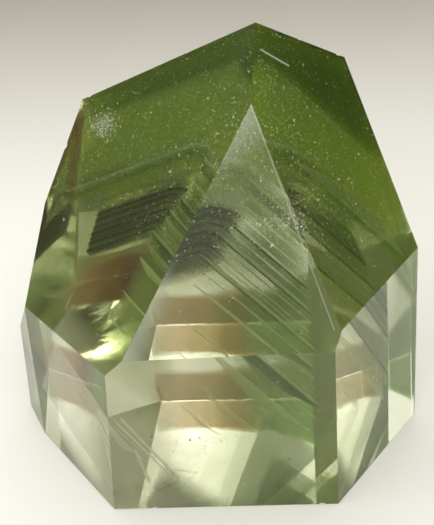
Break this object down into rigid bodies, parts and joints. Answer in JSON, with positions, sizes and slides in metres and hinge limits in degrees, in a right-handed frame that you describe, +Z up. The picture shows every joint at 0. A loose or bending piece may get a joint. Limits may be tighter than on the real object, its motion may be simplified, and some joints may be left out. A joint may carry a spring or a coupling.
{
  "type": "chlorite quartz crystal",
  "caption": "Clear polished quartz point with a slanted faceted tip and green chlorite phantom layers inside, standing on its flat sawn base.",
  "frame": {"origin": "middle of the crystal's outline box in plan, at the level of the flat base that it rests on", "axes": "+Z up along the prism towards the tip; -Y is the front, with the small triangular face over the wide upright face; +X to the right seen from the front"},
  "size_m": [0.0404, 0.0314, 0.042],
  "materials": {
    "quartz": "polished, clear, faintly green",
    "chlorite": "matt, fine-grained, inside the quartz",
    "iron_stain": "matt, fine-grained, inside the quartz",
    "veil": "milky internal fractures and tiny bubbles"
  },
  "bodies": {
    "root": {"crystal": "quartz"}
  },
  "joints": []
}
